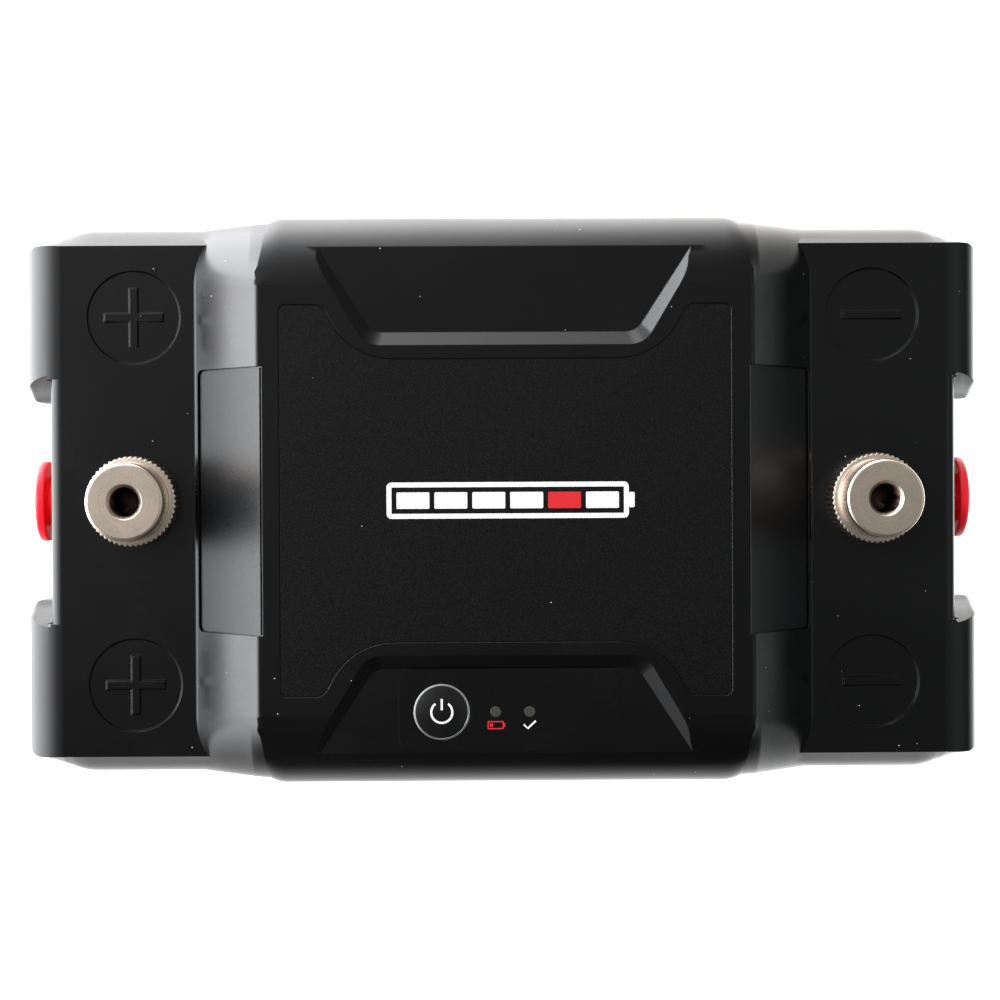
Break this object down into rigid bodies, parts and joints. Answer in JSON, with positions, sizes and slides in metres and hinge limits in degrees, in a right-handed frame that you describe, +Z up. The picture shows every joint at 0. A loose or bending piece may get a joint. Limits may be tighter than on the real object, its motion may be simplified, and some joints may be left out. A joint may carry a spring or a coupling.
{
  "type": "deep cycle battery",
  "caption": "Black 12 V deep cycle battery with a raised centre band, threaded top posts on lower end decks, plugged side terminals in end channels, and a power button with indicator lenses.",
  "frame": {"origin": "middle of the base, on the surface that the battery stands on", "axes": "+X along the length towards the negative end, +Y towards the back, away from the power button, +Z up"},
  "size_m": [0.2294, 0.134, 0.208],
  "materials": {
    "case_plastic": "satin moulded ABS with a fine grain",
    "lid_plastic": "satin moulded ABS, smoother than the case",
    "label_film": "matt textured label film with a white and red graphic",
    "side_film": "matt textured film on the slopes",
    "case_film": "satin printed label film",
    "panel_film": "semi-gloss membrane film",
    "button_plastic": "gloss domed button with a printed ring",
    "lens_plastic": "smoky translucent lens",
    "nickel": "nickel-plated brass",
    "plug_red": "soft red moulded vinyl",
    "copper": "plain copper bar",
    "tinned_copper": "tinned copper",
    "steel": "zinc-plated steel",
    "brass": "turned brass",
    "cell_wrap": "blue film over an aluminium can",
    "insulation": "epoxy glass sheet",
    "foam": "closed-cell foam",
    "seal": "rubbery sealant",
    "board": "green solder mask",
    "switch_plastic": "moulded nylon",
    "heat_sink": "extruded aluminium",
    "cable_red": "silicone insulation",
    "cable_black": "silicone insulation",
    "ribbon": "grey ribbon cable"
  },
  "bodies": {
    "battery": {"case": "case_plastic", "lid": "lid_plastic", "lid_seal": "seal", "top_label": "label_film", "slope_label_positive": "side_film", "slope_label_negative": "side_film", "front_label": "case_film", "back_label": "case_film", "button_film": "panel_film", "tact_switch": "switch_plastic", "lens_low": "lens_plastic", "lens_ok": "lens_plastic", "indicator_board": "board", "indicator_screws": "steel", "indicator_ribbon": "ribbon", "terminal_positive": "nickel", "terminal_negative": "nickel", "terminal_seal_positive": "seal", "terminal_seal_negative": "seal", "terminal_nuts": "steel", "bracket_positive": "copper", "bracket_negative": "copper", "side_terminal_positive": "nickel", "side_terminal_negative": "nickel", "tab_bolts": "steel", "tab_nuts": "steel", "cell_1": "cell_wrap", "cell_2": "cell_wrap", "cell_3": "cell_wrap", "cell_4": "cell_wrap", "insulator_1": "insulation", "insulator_2": "insulation", "insulator_3": "insulation", "busbar_1_2": "copper", "busbar_2_3": "copper", "busbar_3_4": "copper", "cell_nuts": "steel", "strap_lower": "steel", "strap_upper": "steel", "base_pad": "foam", "side_foam_front": "foam", "side_foam_back": "foam", "end_foam_positive": "foam", "end_foam_negative": "foam", "mounting_plate": "insulation", "bms_standoffs": "brass", "bms_board": "board", "bms_heat_sink": "heat_sink", "bms_screws": "steel", "cable_lugs": "tinned_copper", "cable_positive": "cable_red", "cable_cell_negative": "cable_black", "cable_output_negative": "cable_black", "balance_leads": "cable_red"},
    "power_button": {"power_button": "button_plastic"},
    "switch_plunger": {"switch_plunger": "switch_plastic"},
    "side_plug_positive": {"side_plug_positive": "plug_red"},
    "side_plug_negative": {"side_plug_negative": "plug_red"}
  },
  "joints": [
    {"name": "power_button_press", "type": "slide", "parent": "battery", "child": "power_button", "axis": [0, 0, -1], "range_m": [0, 0.0006], "stiffness_N_per_m": 2500, "springref_m": -0.0002},
    {"name": "switch_plunger_press", "type": "slide", "parent": "battery", "child": "switch_plunger", "axis": [0, 0, -1], "range_m": [0, 0.0006]},
    {"name": "side_plug_positive_pull", "type": "slide", "parent": "battery", "child": "side_plug_positive", "axis": [-1, 0, 0], "range_m": [0, 0.012]},
    {"name": "side_plug_negative_pull", "type": "slide", "parent": "battery", "child": "side_plug_negative", "axis": [1, 0, 0], "range_m": [0, 0.012]}
  ],
  "couplings": [
    {"joint": "switch_plunger_press", "follows": "power_button_press", "ratio": 1}
  ]
}
